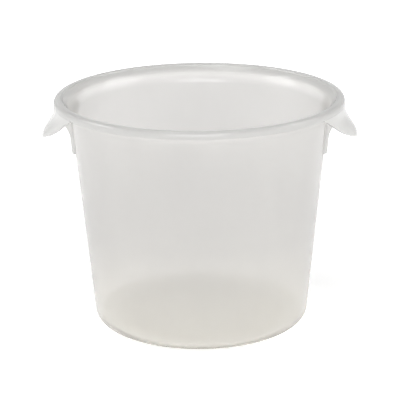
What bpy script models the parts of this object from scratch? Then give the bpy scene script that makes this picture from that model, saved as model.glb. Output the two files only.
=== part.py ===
"""A round open-topped food storage tub with two drooping handle ears, in metres, +Z up.

The tub is one moulding of translucent polypropylene. Its functional regions are modelled as
separate solids that seat on each other: the base with its foot, the rounded bottom edge, the
tapered side wall, the flared mouth, the rim with its down-turned skirt, and on each side an ear
with the thick pad that carries it.
The origin is the centre of the resting face, and the ears point along -X and +X.
"""

import math

import bmesh
import bpy

# Overall sizes
TUB_HEIGHT = 0.1985
RIM_RADIUS = 0.123

# Gap kept between solids that seat on each other
SEAT_GAP = 0.0003

# Side wall. The lean is how much wider its radius is at the rim's top than at the foot
WALL_THICKNESS = 0.0021
WALL_LEAN = 0.0190

# Base
BASE_EDGE_HEIGHT = 0.014
BASE_CORNER_RADIUS = 0.010
FLOOR_THICKNESS = 0.0024
FOOT_WIDTH = 0.0085
FOOT_HEIGHT = 0.0012
FOOT_DRAFT = 0.0008
GATE_RADIUS = 0.007
GATE_DEPTH = 0.0006

# Rim. The flare is how far the lip stands outside the wall's own taper
LAND_WIDTH = 0.0052
MOUTH_FLARE = 0.0086
MOUTH_FLARE_HEIGHT = 0.016
LIP_ROUND = 0.0015
RIM_THICKNESS = 0.0021
SKIRT_HEIGHT = 0.0063
SKIRT_TOP_ROUND = 0.0028
SKIRT_EDGE_ROUND = 0.0007
CHANNEL_ROUND = 0.0009

# How much wider the skirt's bottom edge stands at the middle of an ear than elsewhere
SKIRT_SWELL = 0.0016

# Ears
EAR_ROOT_WIDTH = 0.130
EAR_ROOT_INSET = 0.0003
EAR_REACH = 0.0111
EAR_DROP = 0.0284
EAR_END_DROP = 0.0012
EAR_THICKNESS = 0.0023
EAR_DROP_POWER = 1.25
EAR_REACH_POWER = 3.4
EAR_CURVE_POWER = 1.3

# Pads under the ears
PAD_WIDTH = 0.052
PAD_PROUD = 0.0025
PAD_SIDE_PROUD = 0.0005
PAD_STRAIGHT_HEIGHT = 0.015
PAD_FLARE_HEIGHT = 0.025
PAD_TOP_DROP = 0.0027
PAD_BOTTOM_RISE = 0.003
PAD_FLAT_SHARE = 0.55

# Faceting, and the angle past which an edge is shaded sharp
SHARP_DEGREES = 35
TURN_STEPS = 72
FLARE_STEPS = 6
CORNER_STEPS = 6
ROUND_STEPS = 3
EAR_STEPS = 28
EAR_SECTION_STEPS = 9
PAD_STEPS = 14
PAD_SECTION_STEPS = 8

# Surface finish of the moulding: colours, roughness, and how much light goes through
MOULDED_ROUGHNESS = 0.32
MOULDED_TRANSMISSION = 0.75
MOULDED_IOR = 1.49
BASE_COLOUR = (0.84, 0.83, 0.79, 1.0)
EDGE_COLOUR = (0.85, 0.84, 0.81, 1.0)
WALL_COLOUR = (0.86, 0.86, 0.84, 1.0)
MOUTH_COLOUR = (0.87, 0.87, 0.84, 1.0)
RIM_COLOUR = (0.87, 0.87, 0.85, 1.0)
EAR_COLOUR = (0.86, 0.86, 0.85, 1.0)
PAD_COLOUR = (0.85, 0.86, 0.84, 1.0)

# Values worked out from the sizes above. The base ends where the bottom edge starts to round
MOUTH_HEIGHT = TUB_HEIGHT - MOUTH_FLARE_HEIGHT
LIP_RADIUS = RIM_RADIUS - LAND_WIDTH
WALL_TAPER = math.atan2(WALL_LEAN, TUB_HEIGHT)
WALL_LEVEL_THICKNESS = WALL_THICKNESS / math.cos(WALL_TAPER)
WALL_FOOT_RADIUS = LIP_RADIUS - MOUTH_FLARE + WALL_LEVEL_THICKNESS - WALL_LEAN
EDGE_START_RADIUS = WALL_FOOT_RADIUS + BASE_CORNER_RADIUS * (math.tan(WALL_TAPER) - 1 / math.cos(WALL_TAPER))
FLOOR_TOP = FOOT_HEIGHT + FLOOR_THICKNESS
LAND_BOTTOM = TUB_HEIGHT - RIM_THICKNESS
SKIRT_BOTTOM = TUB_HEIGHT - SKIRT_HEIGHT
PAD_TOP = SKIRT_BOTTOM - PAD_TOP_DROP
PAD_FLARE_BOTTOM = PAD_TOP - PAD_FLARE_HEIGHT
PAD_BOTTOM = PAD_FLARE_BOTTOM - PAD_STRAIGHT_HEIGHT
EAR_ROOT_RADIUS = RIM_RADIUS - EAR_ROOT_INSET
EAR_TOP = SKIRT_BOTTOM - SEAT_GAP
EAR_HALF_ANGLE = math.asin(EAR_ROOT_WIDTH / 2 / EAR_ROOT_RADIUS)
PAD_HALF_ANGLE = math.asin(PAD_WIDTH / 2 / (WALL_FOOT_RADIUS + WALL_LEAN))


def clear_scene():
    """Remove every object that the open file holds."""
    for old in list(bpy.data.objects):
        bpy.data.objects.remove(old, do_unlink=True)


def moulded_plastic(name, colour):
    """Translucent polypropylene in one tint."""
    material = bpy.data.materials.new(name)
    material.use_nodes = True
    shader = material.node_tree.nodes["Principled BSDF"]
    shader.inputs["Base Color"].default_value = colour
    shader.inputs["Roughness"].default_value = MOULDED_ROUGHNESS
    shader.inputs["Metallic"].default_value = 0.0
    shader.inputs["IOR"].default_value = MOULDED_IOR
    shader.inputs["Transmission Weight"].default_value = MOULDED_TRANSMISSION
    return material


def add_object(name, bm, material, parent):
    """Turn a finished bmesh into a smooth-shaded object with its faces pointing out."""
    bmesh.ops.recalc_face_normals(bm, faces=bm.faces)
    mesh = bpy.data.meshes.new(name)
    bm.to_mesh(mesh)
    bm.free()
    mesh.shade_smooth()
    mesh.set_sharp_from_angle(angle=math.radians(SHARP_DEGREES))
    mesh.materials.append(material)
    piece = bpy.data.objects.new(name, mesh)
    bpy.context.scene.collection.objects.link(piece)
    piece.parent = parent
    return piece


def arc(centre_r, centre_z, radius, start, end, steps):
    """Points of an arc in the section plane, both ends included, angles in degrees."""
    points = []
    for step in range(steps + 1):
        angle = math.radians(start + (end - start) * step / steps)
        points.append((centre_r + radius * math.cos(angle), centre_z + radius * math.sin(angle)))
    return points


def turn(outline, closed):
    """Spin a section outline of (radius, height) points about the tub's axis."""
    bm = bmesh.new()
    verts = [bm.verts.new((radius, 0, height)) for radius, height in outline]
    ends = verts[1:] + verts[:1] if closed else verts[1:]
    edges = [bm.edges.new(pair) for pair in zip(verts, ends)]
    bmesh.ops.spin(
        bm,
        geom=verts + edges,
        axis=(0, 0, 1),
        cent=(0, 0, 0),
        angle=2 * math.pi,
        steps=TURN_STEPS,
        use_merge=True,
    )
    bmesh.ops.remove_doubles(bm, verts=bm.verts, dist=SEAT_GAP / 10)
    return bm


def loft(sections):
    """Join closed rings of points into one skin, with a cap on each end."""
    bm = bmesh.new()
    rings = [[bm.verts.new(point) for point in section] for section in sections]
    for ring, following in zip(rings, rings[1:]):
        count = len(ring)
        for index in range(count):
            after = (index + 1) % count
            bm.faces.new((ring[index], ring[after], following[after], following[index]))
    bm.faces.new(rings[0])
    bm.faces.new(rings[-1])
    return bm


def wall_outer(height):
    """Radius of the side wall's outer face."""
    return WALL_FOOT_RADIUS + WALL_LEAN * height / TUB_HEIGHT


def wall_inner(height):
    """Radius of the side wall's inner face."""
    return wall_outer(height) - WALL_LEVEL_THICKNESS


def mouth_inner(height):
    """Radius of the mouth's inner face, which flares from the wall's taper out to the lip."""
    share = (height - MOUTH_HEIGHT) / MOUTH_FLARE_HEIGHT
    return wall_inner(height) + MOUTH_FLARE * share ** 2


def mouth_outer(height):
    """Radius of the outer face of the flared mouth."""
    share = (height - MOUTH_HEIGHT) / MOUTH_FLARE_HEIGHT
    slope = math.tan(WALL_TAPER) + 2 * share * MOUTH_FLARE / MOUTH_FLARE_HEIGHT
    return mouth_inner(height) + RIM_THICKNESS * math.hypot(1, slope)


def body_outer(height):
    """Radius of the tub's outer face under the rim, on the wall or on the mouth."""
    return mouth_outer(height) if height > MOUTH_HEIGHT else wall_outer(height)


def smooth_step(share):
    """Rise from 0 to 1 that starts and ends level."""
    return share * share * (3 - 2 * share)


def base_outline():
    """Section of the base: recessed underside with the gate mark, foot and floor."""
    foot_outer = EDGE_START_RADIUS - SEAT_GAP
    foot_inner = foot_outer - FOOT_WIDTH
    return [
        (0, FOOT_HEIGHT + GATE_DEPTH),
        (GATE_RADIUS - GATE_DEPTH, FOOT_HEIGHT + GATE_DEPTH),
        (GATE_RADIUS, FOOT_HEIGHT),
        (foot_inner - FOOT_DRAFT, FOOT_HEIGHT),
        (foot_inner, 0),
        (foot_outer, 0),
        (foot_outer, FLOOR_TOP),
        (0, FLOOR_TOP),
    ]


def edge_outline():
    """Section of the rounded bottom edge, from the floor up to the side wall's seat."""
    inner_corner = BASE_CORNER_RADIUS - WALL_THICKNESS
    turned = math.degrees(WALL_TAPER)
    inner_height = FLOOR_TOP + inner_corner
    inner_r = wall_inner(inner_height) - inner_corner / math.cos(WALL_TAPER)
    outline = arc(EDGE_START_RADIUS, BASE_CORNER_RADIUS, BASE_CORNER_RADIUS, -90, -turned, CORNER_STEPS)
    outline.append((wall_outer(BASE_EDGE_HEIGHT), BASE_EDGE_HEIGHT))
    outline.append((wall_inner(BASE_EDGE_HEIGHT), BASE_EDGE_HEIGHT))
    outline += arc(inner_r, inner_height, inner_corner, -turned, -90, CORNER_STEPS)
    outline.append((EDGE_START_RADIUS, FLOOR_TOP))
    return outline


def wall_outline():
    """Section of the tapered side wall, seated on the bottom edge and stopping at the mouth."""
    bottom = BASE_EDGE_HEIGHT + SEAT_GAP
    middle = (bottom + MOUTH_HEIGHT) / 2
    heights = (bottom, middle, MOUTH_HEIGHT)
    outside = [(wall_outer(height), height) for height in heights]
    inside = [(wall_inner(height), height) for height in reversed(heights)]
    return outside + inside


def mouth_outline():
    """Section of the flared mouth, between the side wall and the rim's land."""
    bottom = MOUTH_HEIGHT + SEAT_GAP
    top = LAND_BOTTOM - SEAT_GAP
    heights = [bottom + (top - bottom) * step / FLARE_STEPS for step in range(FLARE_STEPS + 1)]
    inside = [(mouth_inner(height), height) for height in heights]
    outside = [(mouth_outer(height), height) for height in reversed(heights)]
    return inside + outside


def rim_outline():
    """Section of the rim: rounded lip, flat land, skirt and the channel under the land."""
    lip_bottom = TUB_HEIGHT - LIP_ROUND
    lip_start = mouth_inner(lip_bottom)
    skirt_inner = RIM_RADIUS - RIM_THICKNESS
    outline = [(mouth_inner(LAND_BOTTOM), LAND_BOTTOM)]
    for step in range(ROUND_STEPS + 1):
        angle = math.pi / 2 * step / ROUND_STEPS
        run = LIP_ROUND * (1 - math.cos(angle))
        outline.append((lip_start + run, lip_bottom + LIP_ROUND * math.sin(angle)))
    outline += arc(
        RIM_RADIUS - SKIRT_TOP_ROUND, TUB_HEIGHT - SKIRT_TOP_ROUND, SKIRT_TOP_ROUND, 90, 0, ROUND_STEPS + 1
    )
    outline += arc(
        RIM_RADIUS - SKIRT_EDGE_ROUND, SKIRT_BOTTOM + SKIRT_EDGE_ROUND, SKIRT_EDGE_ROUND, 0, -90, ROUND_STEPS
    )
    outline.append((skirt_inner, SKIRT_BOTTOM))
    outline += arc(
        skirt_inner - CHANNEL_ROUND, LAND_BOTTOM - CHANNEL_ROUND, CHANNEL_ROUND, 0, 90, ROUND_STEPS
    )
    outline.append((mouth_outer(LAND_BOTTOM), LAND_BOTTOM))
    return outline


def ear_fullness(turned_share):
    """Share of the ear's full size left at an angle given as a share of its half angle."""
    return math.cos(turned_share * math.pi / 2)


def skirt_swell(turned_share):
    """How much wider the skirt's bottom edge stands over the ear at that angle."""
    return SKIRT_SWELL * ear_fullness(turned_share) ** 2


def swell_over_ears(bm):
    """Flare the turned rim's skirt outwards over both ears, most at its bottom edge."""
    skirt_start = RIM_RADIUS - RIM_THICKNESS - CHANNEL_ROUND + SEAT_GAP / 10
    for vert in bm.verts:
        radius = math.hypot(vert.co.x, vert.co.y)
        turned_share = math.atan2(abs(vert.co.y), abs(vert.co.x)) / EAR_HALF_ANGLE
        if radius > skirt_start and turned_share < 1:
            depth_share = (TUB_HEIGHT - vert.co.z) / SKIRT_HEIGHT
            scale = 1 + skirt_swell(turned_share) * depth_share / radius
            vert.co.x *= scale
            vert.co.y *= scale
    return bm


def ear_face(turned_share, section_steps):
    """Outer face of one ear section: (radius, height) points from the root to the tip."""
    fullness = ear_fullness(turned_share)
    root = EAR_ROOT_RADIUS + skirt_swell(turned_share)
    drop = EAR_END_DROP + (EAR_DROP - EAR_END_DROP) * fullness ** EAR_DROP_POWER
    reach = EAR_REACH * fullness ** EAR_REACH_POWER
    points = []
    for step in range(section_steps + 1):
        share = step / section_steps
        points.append((root + reach * smooth_step(share ** EAR_CURVE_POWER), EAR_TOP - drop * share))
    return points


def inward(points, thickness):
    """The same line moved square to itself, towards the tub's axis."""
    moved = []
    for index, (radius, height) in enumerate(points):
        before = points[max(index - 1, 0)]
        after = points[min(index + 1, len(points) - 1)]
        run = after[0] - before[0]
        fall = before[1] - after[1]
        length = math.hypot(run, fall)
        moved.append((radius - thickness * fall / length, height - thickness * run / length))
    moved[0] = (moved[0][0], points[0][1])
    return moved


def ear_section(turned_share):
    """Closed section of the ear shell, with a rounded edge at the tip."""
    outer = ear_face(turned_share, EAR_SECTION_STEPS)
    inner = inward(outer, EAR_THICKNESS)
    tip = outer[-1]
    end = inner[-1]
    centre_r = (tip[0] + end[0]) / 2
    centre_z = (tip[1] + end[1]) / 2
    edge = []
    for step in range(1, ROUND_STEPS + 1):
        angle = math.pi * step / (ROUND_STEPS + 1)
        across = math.cos(angle)
        below = math.sin(angle) * min(EAR_THICKNESS, EAR_END_DROP) / 2
        edge_r = centre_r + (tip[0] - centre_r) * across
        edge_z = centre_z + (tip[1] - centre_z) * across - below
        edge.append((edge_r, edge_z))
    return outer + edge + list(reversed(inner))


def pad_section(turned_share):
    """Closed section of the pad: on the wall inside, proud and flared to the ear outside."""
    side = max(abs(turned_share) - PAD_FLAT_SHARE, 0) / (1 - PAD_FLAT_SHARE)
    fullness = 1 - smooth_step(side)
    proud = PAD_SIDE_PROUD + (PAD_PROUD - PAD_SIDE_PROUD) * fullness
    ear_swell = skirt_swell(turned_share * PAD_HALF_ANGLE / EAR_HALF_ANGLE)
    ear_inner = EAR_ROOT_RADIUS + ear_swell - EAR_THICKNESS - SEAT_GAP
    reach = ear_inner - body_outer(PAD_TOP) - SEAT_GAP - PAD_PROUD
    heights = [PAD_BOTTOM + PAD_BOTTOM_RISE * turned_share ** 2]
    for step in range(PAD_SECTION_STEPS + 1):
        heights.append(PAD_FLARE_BOTTOM + PAD_FLARE_HEIGHT * step / PAD_SECTION_STEPS)
    outer = []
    for height in heights:
        share = max(height - PAD_FLARE_BOTTOM, 0) / PAD_FLARE_HEIGHT
        extra = reach * fullness * smooth_step(share)
        outer.append((body_outer(height) + SEAT_GAP + proud + extra, height))
    inner = [(body_outer(height) + SEAT_GAP, height) for height in reversed(heights)]
    return outer + inner


def swept(section, half_angle, steps):
    """Lofted solid of sections placed round the tub's axis, centred on +X."""
    rings = []
    for step in range(steps + 1):
        share = 2 * step / steps - 1
        angle = share * half_angle
        rings.append([(r * math.cos(angle), r * math.sin(angle), z) for r, z in section(share)])
    return loft(rings)


def add_side_pair(name, bm, material, parent):
    """One solid at +X and its copy at -X, turned half way round the tub's axis."""
    right = add_object("right_" + name, bm, material, parent)
    left = right.copy()
    left.name = "left_" + name
    left.rotation_euler = (0, 0, math.pi)
    bpy.context.scene.collection.objects.link(left)


def build():
    """Build the whole tub under one empty at its origin."""
    clear_scene()
    tub = bpy.data.objects.new("tub", None)
    bpy.context.scene.collection.objects.link(tub)
    add_object("base", turn(base_outline(), closed=False), moulded_plastic("base", BASE_COLOUR), tub)
    add_object("base_edge", turn(edge_outline(), closed=True), moulded_plastic("base_edge", EDGE_COLOUR), tub)
    add_object("side_wall", turn(wall_outline(), closed=True), moulded_plastic("side_wall", WALL_COLOUR), tub)
    add_object("mouth", turn(mouth_outline(), closed=True), moulded_plastic("mouth", MOUTH_COLOUR), tub)
    rim = swell_over_ears(turn(rim_outline(), closed=True))
    add_object("rim", rim, moulded_plastic("rim", RIM_COLOUR), tub)
    ear = swept(ear_section, EAR_HALF_ANGLE, EAR_STEPS)
    add_side_pair("handle", ear, moulded_plastic("handle", EAR_COLOUR), tub)
    pad = swept(pad_section, PAD_HALF_ANGLE, PAD_STEPS)
    add_side_pair("handle_pad", pad, moulded_plastic("handle_pad", PAD_COLOUR), tub)


build()
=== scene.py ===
import math

import bpy
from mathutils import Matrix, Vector


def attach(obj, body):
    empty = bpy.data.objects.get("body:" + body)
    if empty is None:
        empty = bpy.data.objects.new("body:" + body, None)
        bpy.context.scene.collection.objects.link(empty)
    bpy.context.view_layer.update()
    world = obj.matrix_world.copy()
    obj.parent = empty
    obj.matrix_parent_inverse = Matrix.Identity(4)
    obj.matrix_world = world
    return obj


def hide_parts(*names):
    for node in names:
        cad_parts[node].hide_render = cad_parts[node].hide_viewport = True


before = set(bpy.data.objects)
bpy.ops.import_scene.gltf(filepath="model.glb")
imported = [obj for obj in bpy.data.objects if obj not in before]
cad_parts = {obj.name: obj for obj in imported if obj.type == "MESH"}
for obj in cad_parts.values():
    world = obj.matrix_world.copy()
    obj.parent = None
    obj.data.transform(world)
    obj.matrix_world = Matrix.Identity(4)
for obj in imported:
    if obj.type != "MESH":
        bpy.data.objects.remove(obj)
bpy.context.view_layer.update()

# Camera, in metres and radians: the view fitted to the photograph's outlines
IMAGE_SIDE = 420
FOCAL_PIXELS = 1650.3
SENSOR_WIDTH = 36.0
CAMERA_DISTANCE = 1.36624
CAMERA_HEIGHT = 0.53942
CAMERA_PITCH = 0.314489
CAMERA_AZIMUTH = 0.032
CAMERA_YAW = 0.006062
CAMERA_ROLL = -0.008556

# Overall sizes, as in the CAD
TUB_HEIGHT = 0.1985
RIM_RADIUS = 0.123

# Side wall
WALL_THICKNESS = 0.0021
WALL_LEAN = 0.0190

# Base
CORNER_RADIUS = 0.010
FLOOR_THICKNESS = 0.0024
FOOT_WIDTH = 0.0085
FOOT_HEIGHT = 0.0012
FOOT_DRAFT = 0.0008
FOOT_ROUND = 0.0003
GATE_RADIUS = 0.007
GATE_DEPTH = 0.0006

# Rim
LAND_WIDTH = 0.0052
MOUTH_FLARE = 0.0086
MOUTH_FLARE_HEIGHT = 0.016
LIP_ROUND = 0.0015
RIM_THICKNESS = 0.0021
SKIRT_HEIGHT = 0.0063
SKIRT_TOP_ROUND = 0.0028
SKIRT_EDGE_ROUND = 0.0007
CHANNEL_ROUND = 0.0009

# How much wider the skirt's bottom edge stands at the middle of an ear than elsewhere
SKIRT_SWELL = 0.0016

# Ears
EAR_ROOT_WIDTH = 0.130
EAR_ROOT_INSET = 0.0003
EAR_REACH = 0.0111
EAR_DROP = 0.0284
EAR_END_DROP = 0.0012
EAR_THICKNESS = 0.0023
EAR_DROP_POWER = 1.25
EAR_REACH_POWER = 3.4
EAR_CURVE_POWER = 1.3
EAR_BURY = 0.0012
EAR_EDGE_ROUND = 0.0008

# Pads under the ears
PAD_WIDTH = 0.052
PAD_PROUD = 0.0028
PAD_SIDE_PROUD = 0.0005
PAD_STRAIGHT_HEIGHT = 0.015
PAD_FLARE_HEIGHT = 0.025
PAD_TOP_DROP = 0.0027
PAD_BOTTOM_RISE = 0.003
PAD_FLAT_SHARE = 0.55
PAD_BURY = 0.0010
PAD_EDGE_ROUND = 0.0006

# Faceting
TURN_STEPS = 192
CORNER_STEPS = 12
ROUND_STEPS = 5
FLARE_STEPS = 12
WALL_STEPS = 12
FLOOR_STEPS = 6
EAR_ACROSS = 96
EAR_DOWN = 26
PAD_ACROSS = 48
PAD_DOWN = 30
EDGE_STEPS = 3
SHARP_DEGREES = 32
BEVEL_DEGREES = 64
MERGE_DISTANCE = 0.00001

# Plastic: its colours, and the shares of the tub's height at which they are reached; the base colour is warm
# and darkened as painted shade under the tub, the low colour lightened as painted light on the low wall
BASE_COLOUR = (0.69, 0.67, 0.61)
LOW_COLOUR = (0.97, 0.955, 0.922)
HIGH_COLOUR = (0.892, 0.882, 0.87)
THICK_COLOUR = (0.80, 0.796, 0.782)
BASE_TINT_SHARE = 0.016
LOW_TINT_SHARE = 0.03
HIGH_TINT_SHARE = 0.45

# Plastic: painted shade, as the share of its colour left on the inner face and on the rim
INNER_PAINTED_SHADE = 0.75
RIM_PAINTED_SHADE = 0.89

# Plastic: how much light it scatters, lets through and soaks up
WALL_MILK_SHARE = 0.40
LOW_MILK_SHARE = 0.30
CLEARER_HEIGHT = 0.10
THICK_MILK_SHARE = 0.72
BACK_SHARE = 0.7
WALL_SHADOW_SHARE = 0.5
THICK_SHADOW_SHARE = 0.85
THICK_START = 0.0003
THICK_FULL = 0.0022
PLASTIC_IOR = 1.49
ABSORPTION_COLOUR = (0.72, 0.71, 0.66)
ABSORPTION_DENSITY = 6.0

# Plastic: finish, flow marks and relief
GLOSSY_ROUGHNESS = 0.05
SATIN_ROUGHNESS = 0.10
MOUTH_ROUGHNESS = 0.05
EVEN_STRETCH = (1, 1, 1)
FLOW_SCALE = 22
FLOW_STRETCH = (1, 1, 0.35)
FLOW_DETAIL = 3
FLOW_SHARE = 0.018
GRAIN_SCALE = 900
GRAIN_DETAIL = 2
GRAIN_SHARE = 0.15
WAVE_SCALE = 34
WAVE_DETAIL = 1
WAVE_SHARE = 1.0
TOOL_RING_STEP = 0.0022
TOOL_RING_FADE = 0.001
TOOL_RING_SHARE = 0.12
RELIEF_STRENGTH = 0.25
RELIEF_DEPTH = 0.0006

# Plastic: scuffs near the foot and on the ears and rim
SCUFF_SCALE = 260
SCUFF_STRETCH = (1, 1, 3.5)
SCUFF_DETAIL = 5
SCUFF_START = 0.55
SCUFF_FULL = 0.72
SCUFF_HEIGHT = 0.011
SCUFF_ROUGHNESS = 0.30
SCUFF_MILK_SHARE = 0.09
HANDLING_SHARE = 0.3

# Studio: name, place, size and power of each light panel
LIGHT_PANELS = (
    ("top_panel", (-0.25, -0.1, 1.4), 0.4, 1.2),
    ("left_panel", (-1.15, 0.03, 0.95), 0.7, 6.6),
    ("right_panel", (1.2, 0.0, 0.95), 0.85, 7.2),
    ("front_panel", (0.0, -1.7, 0.35), 1.4, 27.0),
)
WORLD_LEVEL = 0.11
WHITE = (1, 1, 1)
STUDIO_FLOOR_RADIUS = 3.0
STUDIO_FLOOR_COLOUR = (0.8, 0.8, 0.8)
GLOW_NEAR = 0.15
GLOW_FAR = 0.6
GLOW_NEAR_LEVEL = 0.52

# Values worked out from the sizes above
MOUTH_HEIGHT = TUB_HEIGHT - MOUTH_FLARE_HEIGHT
LIP_RADIUS = RIM_RADIUS - LAND_WIDTH
LIP_BOTTOM = TUB_HEIGHT - LIP_ROUND
WALL_TAPER = math.atan2(WALL_LEAN, TUB_HEIGHT)
WALL_LEVEL_THICKNESS = WALL_THICKNESS / math.cos(WALL_TAPER)
WALL_FOOT_RADIUS = LIP_RADIUS - MOUTH_FLARE + WALL_LEVEL_THICKNESS - WALL_LEAN
CORNER_START_RADIUS = WALL_FOOT_RADIUS + CORNER_RADIUS * (math.tan(WALL_TAPER) - 1 / math.cos(WALL_TAPER))
FLOOR_TOP = FOOT_HEIGHT + FLOOR_THICKNESS
LAND_BOTTOM = TUB_HEIGHT - RIM_THICKNESS
SKIRT_BOTTOM = TUB_HEIGHT - SKIRT_HEIGHT
PAD_TOP = SKIRT_BOTTOM - PAD_TOP_DROP
PAD_FLARE_BOTTOM = PAD_TOP - PAD_FLARE_HEIGHT
PAD_BOTTOM = PAD_FLARE_BOTTOM - PAD_STRAIGHT_HEIGHT
EAR_ROOT_RADIUS = RIM_RADIUS - EAR_ROOT_INSET
EAR_HALF_ANGLE = math.asin(EAR_ROOT_WIDTH / 2 / EAR_ROOT_RADIUS)
PAD_HALF_ANGLE = math.asin(PAD_WIDTH / 2 / (WALL_FOOT_RADIUS + WALL_LEAN))


def add_camera():
    """Camera at the photograph's viewing angle."""
    data = bpy.data.cameras.new("camera")
    data.sensor_width = SENSOR_WIDTH
    data.lens = SENSOR_WIDTH * FOCAL_PIXELS / IMAGE_SIDE
    camera = bpy.data.objects.new("camera", data)
    bpy.context.scene.collection.objects.link(camera)
    heading = CAMERA_YAW - CAMERA_AZIMUTH
    ahead = Vector((
        math.sin(heading) * math.cos(CAMERA_PITCH),
        math.cos(heading) * math.cos(CAMERA_PITCH),
        -math.sin(CAMERA_PITCH),
    ))
    turn = ahead.to_track_quat("-Z", "Y").to_matrix().to_4x4()
    camera.matrix_world = turn
    camera.rotation_mode = "XYZ"
    camera.rotation_euler.rotate_axis("Z", CAMERA_ROLL)
    camera.location = (
        CAMERA_DISTANCE * math.sin(CAMERA_AZIMUTH),
        -CAMERA_DISTANCE * math.cos(CAMERA_AZIMUTH),
        CAMERA_HEIGHT,
    )
    bpy.context.scene.camera = camera


def wall_outer(height):
    """Radius of the side wall's outer face."""
    return WALL_FOOT_RADIUS + WALL_LEAN * height / TUB_HEIGHT


def wall_inner(height):
    """Radius of the side wall's inner face."""
    return wall_outer(height) - WALL_LEVEL_THICKNESS


def mouth_inner(height):
    """Radius of the mouth's inner face, which flares from the wall's taper out to the lip."""
    share = (height - MOUTH_HEIGHT) / MOUTH_FLARE_HEIGHT
    return wall_inner(height) + MOUTH_FLARE * share ** 2


def mouth_outer(height):
    """Radius of the outer face of the flared mouth."""
    share = (height - MOUTH_HEIGHT) / MOUTH_FLARE_HEIGHT
    slope = math.tan(WALL_TAPER) + 2 * share * MOUTH_FLARE / MOUTH_FLARE_HEIGHT
    return mouth_inner(height) + RIM_THICKNESS * math.hypot(1, slope)


def body_outer(height):
    """Radius of the tub's outer face under the rim, on the wall or on the mouth."""
    return mouth_outer(height) if height > MOUTH_HEIGHT else wall_outer(height)


def smooth_step(share):
    """Rise from 0 to 1 that starts and ends level."""
    return share * share * (3 - 2 * share)


def arc(centre_r, centre_z, radius, start, end, steps):
    """Points of an arc in the section plane, both ends included, angles in degrees."""
    points = []
    for step in range(steps + 1):
        angle = math.radians(start + (end - start) * step / steps)
        points.append((centre_r + radius * math.cos(angle), centre_z + radius * math.sin(angle)))
    return points


def spaced(low, high, steps):
    """Evenly spaced values from low to high, both ends included."""
    return [low + (high - low) * step / steps for step in range(steps + 1)]


def upright(radius_at, start, end, steps):
    """Points of a face whose radius depends on the height, without the first one."""
    return [(radius_at(height), height) for height in spaced(start, end, steps)[1:]]


def level(height, start, end, steps):
    """Points of a flat face at one height, from one radius to another, without the first one."""
    return [(radius, height) for radius in spaced(start, end, steps)[1:]]


def underside_outline():
    """Half section from the axis under the floor to the top of the round bottom corner."""
    foot_inner = CORNER_START_RADIUS - FOOT_WIDTH
    gate_top = FOOT_HEIGHT + GATE_DEPTH
    outline = [(0, gate_top), (GATE_RADIUS - GATE_DEPTH, gate_top), (GATE_RADIUS, FOOT_HEIGHT)]
    outline += level(FOOT_HEIGHT, GATE_RADIUS, foot_inner - FOOT_DRAFT, FLOOR_STEPS)
    outline += [(foot_inner - FOOT_ROUND, FOOT_ROUND), (foot_inner, 0)]
    turned = math.degrees(WALL_TAPER)
    outline += arc(CORNER_START_RADIUS, CORNER_RADIUS, CORNER_RADIUS, -90, -turned, CORNER_STEPS)
    return outline


def rim_outline():
    """Half section of the rim, from the channel under its land round the skirt to the inner lip."""
    skirt_inner = RIM_RADIUS - RIM_THICKNESS
    channel_height = LAND_BOTTOM - CHANNEL_ROUND
    edge_height = SKIRT_BOTTOM + SKIRT_EDGE_ROUND
    top_height = TUB_HEIGHT - SKIRT_TOP_ROUND
    outline = arc(skirt_inner - CHANNEL_ROUND, channel_height, CHANNEL_ROUND, 90, 0, ROUND_STEPS)
    outline += arc(skirt_inner + SKIRT_EDGE_ROUND, edge_height, SKIRT_EDGE_ROUND, 180, 270, ROUND_STEPS)
    outline += arc(RIM_RADIUS - SKIRT_EDGE_ROUND, edge_height, SKIRT_EDGE_ROUND, 270, 360, ROUND_STEPS)
    outline += arc(RIM_RADIUS - SKIRT_TOP_ROUND, top_height, SKIRT_TOP_ROUND, 0, 90, ROUND_STEPS)
    outline += arc(mouth_inner(LIP_BOTTOM) + LIP_ROUND, LIP_BOTTOM, LIP_ROUND, 90, 180, ROUND_STEPS)
    return outline


def body_outline():
    """Half section of the whole moulding, from the axis under the floor round to the axis above it."""
    corner_top = CORNER_RADIUS * (1 - math.sin(WALL_TAPER))
    inner_corner = CORNER_RADIUS - WALL_THICKNESS
    inner_height = FLOOR_TOP + inner_corner
    inner_r = wall_inner(inner_height) - inner_corner / math.cos(WALL_TAPER)
    inner_top = inner_height - inner_corner * math.sin(WALL_TAPER)
    outline = underside_outline()
    outline += upright(wall_outer, corner_top, MOUTH_HEIGHT, WALL_STEPS)
    outline += [(mouth_outer(MOUTH_HEIGHT), MOUTH_HEIGHT)]
    outline += upright(mouth_outer, MOUTH_HEIGHT, LAND_BOTTOM, FLARE_STEPS)
    outline += rim_outline()
    outline += upright(mouth_inner, LIP_BOTTOM, MOUTH_HEIGHT, FLARE_STEPS)
    outline += upright(wall_inner, MOUTH_HEIGHT, inner_top, WALL_STEPS)
    outline += arc(inner_r, inner_height, inner_corner, -math.degrees(WALL_TAPER), -90, CORNER_STEPS)
    outline += level(FLOOR_TOP, inner_r, 0, FLOOR_STEPS)
    return outline


def deselect_all():
    """Leave nothing selected before an operator acts."""
    bpy.ops.object.select_all(action="DESELECT")


def take(piece):
    """Make one object the selected and active one."""
    deselect_all()
    piece.select_set(True)
    bpy.context.view_layer.objects.active = piece


def outward(piece):
    """Weld a mesh and turn its faces to point out."""
    take(piece)
    bpy.ops.object.mode_set(mode="EDIT")
    bpy.ops.mesh.select_all(action="SELECT")
    bpy.ops.mesh.remove_doubles(threshold=MERGE_DISTANCE)
    bpy.ops.mesh.normals_make_consistent(inside=False)
    bpy.ops.object.mode_set(mode="OBJECT")


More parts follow.
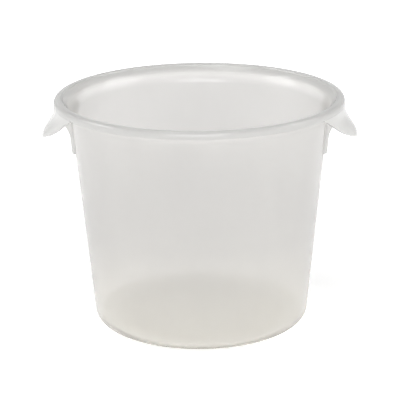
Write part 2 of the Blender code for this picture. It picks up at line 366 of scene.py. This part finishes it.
def turned_body():
    """Draw the half section point by point, spin it about the axis, and weld it shut."""
    outline = body_outline()
    start_r, start_z = outline[0]
    deselect_all()
    bpy.ops.mesh.primitive_plane_add(size=RIM_RADIUS, location=(0, 0, 0))
    body = bpy.context.active_object
    body.name = "tub_moulding"
    bpy.ops.object.mode_set(mode="EDIT")
    bpy.ops.mesh.merge(type="CENTER")
    bpy.ops.transform.translate(value=(start_r, 0, start_z))
    for before, after in zip(outline, outline[1:]):
        step = (after[0] - before[0], 0, after[1] - before[1])
        if math.hypot(step[0], step[2]) > MERGE_DISTANCE:
            bpy.ops.mesh.extrude_region_move(TRANSFORM_OT_translate={"value": step})
    bpy.ops.mesh.select_all(action="SELECT")
    bpy.ops.mesh.spin(steps=TURN_STEPS, angle=2 * math.pi, center=(0, 0, 0), axis=(0, 0, 1))
    bpy.ops.object.mode_set(mode="OBJECT")
    outward(body)
    return body


def swell_over_ears(body):
    """Flare the skirt outwards over both ears, most at its bottom edge."""
    skirt_start = RIM_RADIUS - RIM_THICKNESS - CHANNEL_ROUND + MERGE_DISTANCE
    for vert in body.data.vertices:
        radius = math.hypot(vert.co.x, vert.co.y)
        across = math.atan2(abs(vert.co.y), abs(vert.co.x)) / EAR_HALF_ANGLE
        if radius > skirt_start and across < 1:
            depth_share = (TUB_HEIGHT - vert.co.z) / SKIRT_HEIGHT
            scale = 1 + skirt_swell(across) * depth_share / radius
            vert.co.x *= scale
            vert.co.y *= scale


def shaped_grid(name, across, down, place):
    """A grid primitive whose every point is moved to place(share across -1..1, share down 0..1)."""
    deselect_all()
    bpy.ops.mesh.primitive_grid_add(x_subdivisions=across, y_subdivisions=down, size=2, location=(0, 0, 0))
    sheet = bpy.context.active_object
    sheet.name = name
    for vert in sheet.data.vertices:
        radius, angle, height = place(vert.co.x, (1 - vert.co.y) / 2)
        vert.co = (radius * math.cos(angle), radius * math.sin(angle), height)
    return sheet


def ear_fullness(across):
    """Share of the ear's full size left at an angle given as a share of its half angle."""
    return max(math.cos(across * math.pi / 2), 0)


def skirt_swell(across):
    """How much wider the skirt's bottom edge stands over the ear at that angle."""
    return SKIRT_SWELL * ear_fullness(across) ** 2


def ear_place(across, down):
    """Outer face of the ear: it droops and flares most in the middle and fades out at its ends."""
    fullness = ear_fullness(across)
    drop = EAR_END_DROP + (EAR_DROP - EAR_END_DROP) * fullness ** EAR_DROP_POWER
    reach = EAR_REACH * fullness ** EAR_REACH_POWER
    share = down * (drop + EAR_BURY) / drop - EAR_BURY / drop
    root = EAR_ROOT_RADIUS + skirt_swell(across)
    radius = root + reach * smooth_step(max(share, 0) ** EAR_CURVE_POWER)
    return radius, across * EAR_HALF_ANGLE, SKIRT_BOTTOM - drop * share


def pad_height(across, down):
    """Height of a point of the pad, whose bottom edge rises towards its sides."""
    bottom = PAD_BOTTOM + PAD_BOTTOM_RISE * across ** 2
    return PAD_TOP + (bottom - PAD_TOP) * down


def pad_place(across, down):
    """Outer face of the pad: proud of the wall and flared at its top to meet the ear."""
    side = max(abs(across) - PAD_FLAT_SHARE, 0) / (1 - PAD_FLAT_SHARE)
    fullness = 1 - smooth_step(side)
    height = pad_height(across, down)
    proud = PAD_SIDE_PROUD + (PAD_PROUD - PAD_SIDE_PROUD) * fullness
    share = max(height - PAD_FLARE_BOTTOM, 0) / PAD_FLARE_HEIGHT
    ear_swell = skirt_swell(across * PAD_HALF_ANGLE / EAR_HALF_ANGLE)
    ear_middle = EAR_ROOT_RADIUS + ear_swell - EAR_THICKNESS / 2
    reach = ear_middle - body_outer(PAD_TOP) - PAD_PROUD
    extra = reach * fullness * smooth_step(share)
    return body_outer(height) + proud + extra, across * PAD_HALF_ANGLE, height


def pad_back_place(across, down):
    """Back of the pad, sunk a little into the wall so that the two join."""
    height = pad_height(across, down)
    return body_outer(height) - PAD_BURY, across * PAD_HALF_ANGLE, height


def apply_modifier(piece, kind, **settings):
    """Add one modifier with its settings and apply it."""
    take(piece)
    modifier = piece.modifiers.new(kind.lower(), kind)
    for name, value in settings.items():
        setattr(modifier, name, value)
    bpy.ops.object.modifier_apply(modifier=modifier.name)


def round_edges(piece, width):
    """Round the sharp edges of a solid."""
    limit = math.radians(BEVEL_DEGREES)
    apply_modifier(piece, "BEVEL", width=width, segments=EDGE_STEPS, limit_method="ANGLE", angle_limit=limit)


def add_ear():
    """One drooping ear at +X, a sheet thickened inwards with its free edge rounded."""
    ear = shaped_grid("ear", EAR_ACROSS, EAR_DOWN, ear_place)
    outward(ear)
    # An open sheet has no outside, so the ear's middle face is asked which way it points
    middle = ear.data.polygons[len(ear.data.polygons) // 2]
    if middle.normal.x < 0:
        ear.data.flip_normals()
    apply_modifier(ear, "SOLIDIFY", thickness=EAR_THICKNESS, offset=-1, use_even_offset=True)
    round_edges(ear, EAR_EDGE_ROUND)
    return ear


def add_pad():
    """One pad at +X: its outer face and its back bridged into a closed block."""
    face = shaped_grid("pad", PAD_ACROSS, PAD_DOWN, pad_place)
    back = shaped_grid("pad_back", PAD_ACROSS, PAD_DOWN, pad_back_place)
    take(face)
    back.select_set(True)
    bpy.ops.object.join()
    bpy.ops.object.mode_set(mode="EDIT")
    bpy.ops.mesh.select_mode(type="EDGE")
    bpy.ops.mesh.select_all(action="DESELECT")
    bpy.ops.mesh.select_non_manifold()
    bpy.ops.mesh.bridge_edge_loops()
    bpy.ops.object.mode_set(mode="OBJECT")
    outward(face)
    round_edges(face, PAD_EDGE_ROUND)
    return face


def join_solid(piece, other):
    """Fuse another solid into this one and delete it."""
    apply_modifier(piece, "BOOLEAN", operation="UNION", solver="EXACT", object=other)
    bpy.data.objects.remove(other, do_unlink=True)


def add_tub():
    """The whole one-piece moulding: turned body, two ears and their pads."""
    body = turned_body()
    swell_over_ears(body)
    ear = add_ear()
    join_solid(ear, add_pad())
    take(ear)
    bpy.ops.object.duplicate()
    other = bpy.context.active_object
    bpy.ops.transform.rotate(value=math.pi, orient_axis="Z", center_override=(0, 0, 0))
    bpy.ops.object.transform_apply(location=True, rotation=True, scale=True)
    join_solid(body, ear)
    join_solid(body, other)
    take(body)
    bpy.ops.object.shade_smooth_by_angle(angle=math.radians(SHARP_DEGREES))
    return body


def new_material(name):
    """An empty node material and its node tree."""
    material = bpy.data.materials.new(name)
    material.use_nodes = True
    material.node_tree.nodes.clear()
    return material, material.node_tree


def feed(tree, socket, source):
    """Link an output to a socket, or set the socket to a plain value."""
    if isinstance(source, bpy.types.NodeSocket):
        tree.links.new(source, socket)
    else:
        socket.default_value = source


def computed(tree, operation, *sources):
    """Result of a math node fed with outputs or plain numbers."""
    node = tree.nodes.new("ShaderNodeMath")
    node.operation = operation
    for socket, source in zip(node.inputs, sources):
        feed(tree, socket, source)
    return node.outputs["Value"]


def ranged(tree, value, start, full, low, high):
    """Value that goes from low to high as another goes from start to full."""
    node = tree.nodes.new("ShaderNodeMapRange")
    for socket, source in zip(node.inputs, (value, start, full, low, high)):
        feed(tree, socket, source)
    return node.outputs["Result"]


def soft_noise(tree, place, scale, stretch, detail):
    """Noise about one half, read at a place on the piece and drawn out along the axes."""
    mapping = tree.nodes.new("ShaderNodeMapping")
    mapping.inputs["Scale"].default_value = stretch
    noise = tree.nodes.new("ShaderNodeTexNoise")
    noise.inputs["Scale"].default_value = scale
    noise.inputs["Detail"].default_value = detail
    tree.links.new(place, mapping.inputs["Vector"])
    tree.links.new(mapping.outputs["Vector"], noise.inputs["Vector"])
    return noise.outputs["Fac"]


def coloured(tree, kind, colour):
    """A shader node with its plain colour set."""
    node = tree.nodes.new(kind)
    node.inputs["Color"].default_value = (*colour, 1)
    return node


def mixed_shaders(tree, share, first, second):
    """Mix of two shaders, with the given share of the second."""
    node = tree.nodes.new("ShaderNodeMixShader")
    feed(tree, node.inputs["Fac"], share)
    tree.links.new(first, node.inputs[1])
    tree.links.new(second, node.inputs[2])
    return node.outputs["Shader"]


def tint_with_painted_shade(tree, height, proud, thickness):
    """The plastic's colour: warm and darkened as painted shade in the base, lightened as painted light low on
    the wall, cooler up the wall, greyer where thick, with painted shade on the inner face and the rim.
    """
    # The ramp paints shade in the base and light low on the wall; its change from warm to cool is the
    # plastic's own tint
    ramp = tree.nodes.new("ShaderNodeValToRGB")
    stops = ramp.color_ramp.elements
    stops[0].position = BASE_TINT_SHARE
    stops[0].color = (*BASE_COLOUR, 1)
    stops[1].position = HIGH_TINT_SHARE
    stops[1].color = (*HIGH_COLOUR, 1)
    low_stop = stops.new(LOW_TINT_SHARE)
    low_stop.color = (*LOW_COLOUR, 1)
    tree.links.new(computed(tree, "DIVIDE", height, TUB_HEIGHT), ramp.inputs["Fac"])
    mix = tree.nodes.new("ShaderNodeMix")
    mix.data_type = "RGBA"
    mix.inputs["B"].default_value = (*THICK_COLOUR, 1)
    tree.links.new(thickness, mix.inputs["Factor"])
    tree.links.new(ramp.outputs["Color"], mix.inputs["A"])

    # Painted shade on the inner face: its colour is cut to a share up the wall, and less so towards the base
    deepest_painted_shade = ranged(tree, height, 0, CLEARER_HEIGHT, 1, INNER_PAINTED_SHADE)
    inner_shade_share = ranged(tree, proud, -WALL_THICKNESS, 0, deepest_painted_shade, 1)
    # Painted shade on the rim's skirt above the ears: its colour is cut to a share where the plastic is thick
    above_ears = ranged(tree, height, SKIRT_BOTTOM - SKIRT_EDGE_ROUND, SKIRT_BOTTOM, 0, 1)
    rim_shade_mask = computed(tree, "MULTIPLY", above_ears, thickness)
    rim_shade_share = ranged(tree, rim_shade_mask, 0, 1, 1, RIM_PAINTED_SHADE)
    shade = tree.nodes.new("ShaderNodeVectorMath")
    shade.operation = "SCALE"
    tree.links.new(mix.outputs["Result"], shade.inputs["Vector"])
    tree.links.new(computed(tree, "MULTIPLY", inner_shade_share, rim_shade_share), shade.inputs["Scale"])
    return shade.outputs["Vector"]


def surface_relief(tree, place, radius, height):
    """Normal of the moulded face: fine satin grain, slow waviness, and tool rings on the base."""
    grain = soft_noise(tree, place, GRAIN_SCALE, EVEN_STRETCH, GRAIN_DETAIL)
    waves = soft_noise(tree, place, WAVE_SCALE, EVEN_STRETCH, WAVE_DETAIL)
    turns = computed(tree, "SINE", computed(tree, "MULTIPLY", radius, 2 * math.pi / TOOL_RING_STEP))
    on_base = ranged(tree, height, FLOOR_TOP, FLOOR_TOP + TOOL_RING_FADE, TOOL_RING_SHARE, 0)
    rings = computed(tree, "MULTIPLY", turns, on_base)
    relief = computed(tree, "MULTIPLY_ADD", waves, WAVE_SHARE, computed(tree, "MULTIPLY", grain, GRAIN_SHARE))
    bump = tree.nodes.new("ShaderNodeBump")
    bump.inputs["Strength"].default_value = RELIEF_STRENGTH
    bump.inputs["Distance"].default_value = RELIEF_DEPTH
    tree.links.new(computed(tree, "ADD", relief, rings), bump.inputs["Height"])
    return bump.outputs["Normal"]


def moulding_masks(tree, place):
    """Height, distance from the axis, how far a point stands proud of the wall, and how thick it is."""
    split = tree.nodes.new("ShaderNodeSeparateXYZ")
    tree.links.new(place, split.inputs["Vector"])
    height = split.outputs["Z"]
    across = computed(tree, "POWER", split.outputs["X"], 2)
    deep = computed(tree, "POWER", split.outputs["Y"], 2)
    radius = computed(tree, "SQRT", computed(tree, "ADD", across, deep))
    wall_line = computed(tree, "MULTIPLY_ADD", height, WALL_LEAN / TUB_HEIGHT, WALL_FOOT_RADIUS)
    proud = computed(tree, "SUBTRACT", radius, wall_line)
    return height, radius, proud, ranged(tree, proud, THICK_START, THICK_FULL, 0, 1)


def scuff_mask(tree, place, height, radius, thickness):
    """Fine flecks of wear, strongest round the foot and lighter on the rim, ears and pads."""
    flecks = soft_noise(tree, place, SCUFF_SCALE, SCUFF_STRETCH, SCUFF_DETAIL)
    at_side = ranged(tree, radius, CORNER_START_RADIUS - FOOT_WIDTH, CORNER_START_RADIUS, 0, 1)
    near_foot = computed(tree, "MULTIPLY", ranged(tree, height, 0, SCUFF_HEIGHT, 1, 0), at_side)
    worn = computed(tree, "MAXIMUM", near_foot, computed(tree, "MULTIPLY", thickness, HANDLING_SHARE))
    return computed(tree, "MULTIPLY", worn, ranged(tree, flecks, SCUFF_START, SCUFF_FULL, 0, 1))


def milkiness(tree, height, thickness, flow, scuffs):
    """Share of the plastic that scatters: less low on the wall, most where thick, in faint flow marks."""
    wall_milk = ranged(tree, height, 0, CLEARER_HEIGHT, LOW_MILK_SHARE, WALL_MILK_SHARE)
    even_milk = ranged(tree, thickness, 0, 1, wall_milk, THICK_MILK_SHARE)
    cloudy = ranged(tree, flow, 0, 1, -FLOW_SHARE, FLOW_SHARE)
    milk = computed(tree, "ADD", even_milk, cloudy)
    return computed(tree, "MULTIPLY_ADD", scuffs, SCUFF_MILK_SHARE, milk)


def surface_roughness(tree, height, flow, scuffs):
    """Roughness: near glossy, more satin where the mouth starts to flare, roughest on scuffs."""
    even = ranged(tree, flow, 0, 1, GLOSSY_ROUGHNESS, SATIN_ROUGHNESS)
    below_mouth = ranged(tree, height, MOUTH_HEIGHT - MOUTH_FLARE_HEIGHT, MOUTH_HEIGHT, 0, MOUTH_ROUGHNESS)
    below_skirt = ranged(tree, height, MOUTH_HEIGHT, SKIRT_BOTTOM, 1, 0)
    moulded = computed(tree, "ADD", even, computed(tree, "MULTIPLY", below_mouth, below_skirt))
    return computed(tree, "MULTIPLY_ADD", scuffs, SCUFF_ROUGHNESS, moulded)


def plastic_shader(tree, tint, roughness, normal, thickness, milk_share):
    """See-through plastic with its milky share, which has a glossy skin where the plastic is thick."""
    clear = tree.nodes.new("ShaderNodeBsdfPrincipled")
    clear.inputs["IOR"].default_value = PLASTIC_IOR
    clear.inputs["Transmission Weight"].default_value = 1
    through = tree.nodes.new("ShaderNodeBsdfTranslucent")
    back = tree.nodes.new("ShaderNodeBsdfDiffuse")
    gloss = coloured(tree, "ShaderNodeBsdfGlossy", WHITE)
    fresnel = tree.nodes.new("ShaderNodeFresnel")
    fresnel.inputs["IOR"].default_value = PLASTIC_IOR
    for socket in (clear.inputs["Base Color"], through.inputs["Color"], back.inputs["Color"]):
        tree.links.new(tint, socket)
    for shader in (clear, gloss):
        tree.links.new(roughness, shader.inputs["Roughness"])
    for shader in (clear, through, back, gloss):
        tree.links.new(normal, shader.inputs["Normal"])
    matte = mixed_shaders(tree, BACK_SHARE, through.outputs["BSDF"], back.outputs["BSDF"])
    skin = computed(tree, "MULTIPLY", fresnel.outputs["Fac"], thickness)
    milk = mixed_shaders(tree, skin, matte, gloss.outputs["BSDF"])
    return mixed_shaders(tree, milk_share, clear.outputs["BSDF"], milk)


def light_shadowed(tree, solid, thickness):
    """Let part of the light through in shadow rays, so that the tub casts a pale shadow."""
    unseen = tree.nodes.new("ShaderNodeBsdfTransparent")
    shadow_ray = tree.nodes.new("ShaderNodeLightPath").outputs["Is Shadow Ray"]
    passed = ranged(tree, thickness, 0, 1, WALL_SHADOW_SHARE, THICK_SHADOW_SHARE)
    return mixed_shaders(tree, computed(tree, "MULTIPLY", shadow_ray, passed), solid, unseen.outputs["BSDF"])


def moulding_material():
    """Natural translucent plastic: glossy and clear where thin, milky where thick, scuffed at its foot."""
    material, tree = new_material("natural_polypropylene")
    place = tree.nodes.new("ShaderNodeTexCoord").outputs["Object"]
    height, radius, proud, thickness = moulding_masks(tree, place)
    flow = soft_noise(tree, place, FLOW_SCALE, FLOW_STRETCH, FLOW_DETAIL)
    scuffs = scuff_mask(tree, place, height, radius, thickness)
    milk_share = milkiness(tree, height, thickness, flow, scuffs)
    roughness = surface_roughness(tree, height, flow, scuffs)
    tint = tint_with_painted_shade(tree, height, proud, thickness)
    normal = surface_relief(tree, place, radius, height)
    solid = plastic_shader(tree, tint, roughness, normal, thickness, milk_share)
    absorb = coloured(tree, "ShaderNodeVolumeAbsorption", ABSORPTION_COLOUR)
    absorb.inputs["Density"].default_value = ABSORPTION_DENSITY
    out = tree.nodes.new("ShaderNodeOutputMaterial")
    tree.links.new(light_shadowed(tree, solid, thickness), out.inputs["Surface"])
    tree.links.new(absorb.outputs["Volume"], out.inputs["Volume"])
    return material


def add_lights():
    """Soft studio light from panels aimed at the tub, which don't show through its plastic."""
    middle = Vector((0, 0, TUB_HEIGHT / 2))
    for name, place, size, power in LIGHT_PANELS:
        data = bpy.data.lights.new(name, "AREA")
        data.size = size
        data.energy = power
        lamp = bpy.data.objects.new(name, data)
        lamp.visible_transmission = False
        lamp.location = place
        lamp.rotation_euler = (middle - Vector(place)).to_track_quat("-Z", "Y").to_euler()
        bpy.context.scene.collection.objects.link(lamp)


def shown_mix(tree, lighting, shown):
    """Show one shader to the eye, in gloss and through plastic, while the other lights the tub."""
    path = tree.nodes.new("ShaderNodeLightPath")
    direct = computed(tree, "MAXIMUM", path.outputs["Is Camera Ray"], path.outputs["Is Glossy Ray"])
    seen = computed(tree, "MAXIMUM", direct, path.outputs["Is Transmission Ray"])
    return mixed_shaders(tree, seen, lighting, shown)


def set_world():
    """Surroundings that look white and add a little even light."""
    world = bpy.data.worlds.new("studio")
    bpy.context.scene.world = world
    world.use_nodes = True
    tree = world.node_tree
    tree.nodes.clear()
    lighting = coloured(tree, "ShaderNodeBackground", WHITE)
    lighting.inputs["Strength"].default_value = WORLD_LEVEL
    shown = coloured(tree, "ShaderNodeBackground", WHITE)
    out = tree.nodes.new("ShaderNodeOutputWorld")
    mix = shown_mix(tree, lighting.outputs["Background"], shown.outputs["Background"])
    tree.links.new(mix, out.inputs["Surface"])


def add_floor():
    """Pale floor that shows white further out and keeps the tub's shadow."""
    deselect_all()
    bpy.ops.mesh.primitive_circle_add(
        vertices=TURN_STEPS, radius=STUDIO_FLOOR_RADIUS, fill_type="NGON", location=(0, 0, 0)
    )
    floor = bpy.context.active_object
    floor.name = "studio_floor"
    material, tree = new_material("studio_white")
    place = tree.nodes.new("ShaderNodeTexCoord").outputs["Object"]
    away = tree.nodes.new("ShaderNodeVectorMath")
    away.operation = "LENGTH"
    tree.links.new(place, away.inputs[0])
    matte = coloured(tree, "ShaderNodeBsdfDiffuse", STUDIO_FLOOR_COLOUR)
    white = coloured(tree, "ShaderNodeEmission", WHITE)
    strength = ranged(tree, away.outputs["Value"], GLOW_NEAR, GLOW_FAR, GLOW_NEAR_LEVEL, 1)
    tree.links.new(strength, white.inputs["Strength"])
    both = tree.nodes.new("ShaderNodeAddShader")
    tree.links.new(matte.outputs["BSDF"], both.inputs[0])
    tree.links.new(white.outputs["Emission"], both.inputs[1])
    out = tree.nodes.new("ShaderNodeOutputMaterial")
    mix = shown_mix(tree, matte.outputs["BSDF"], both.outputs["Shader"])
    tree.links.new(mix, out.inputs["Surface"])
    floor.data.materials.append(material)


bpy.context.scene.view_settings.view_transform = "Standard"
add_camera()
set_world()
add_lights()
add_floor()

tub = add_tub()
tub.data.materials.append(moulding_material())
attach(tub, "root")
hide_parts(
    "base", "base_edge", "side_wall", "mouth", "rim", "left_handle", "right_handle", "left_handle_pad",
    "right_handle_pad",
)
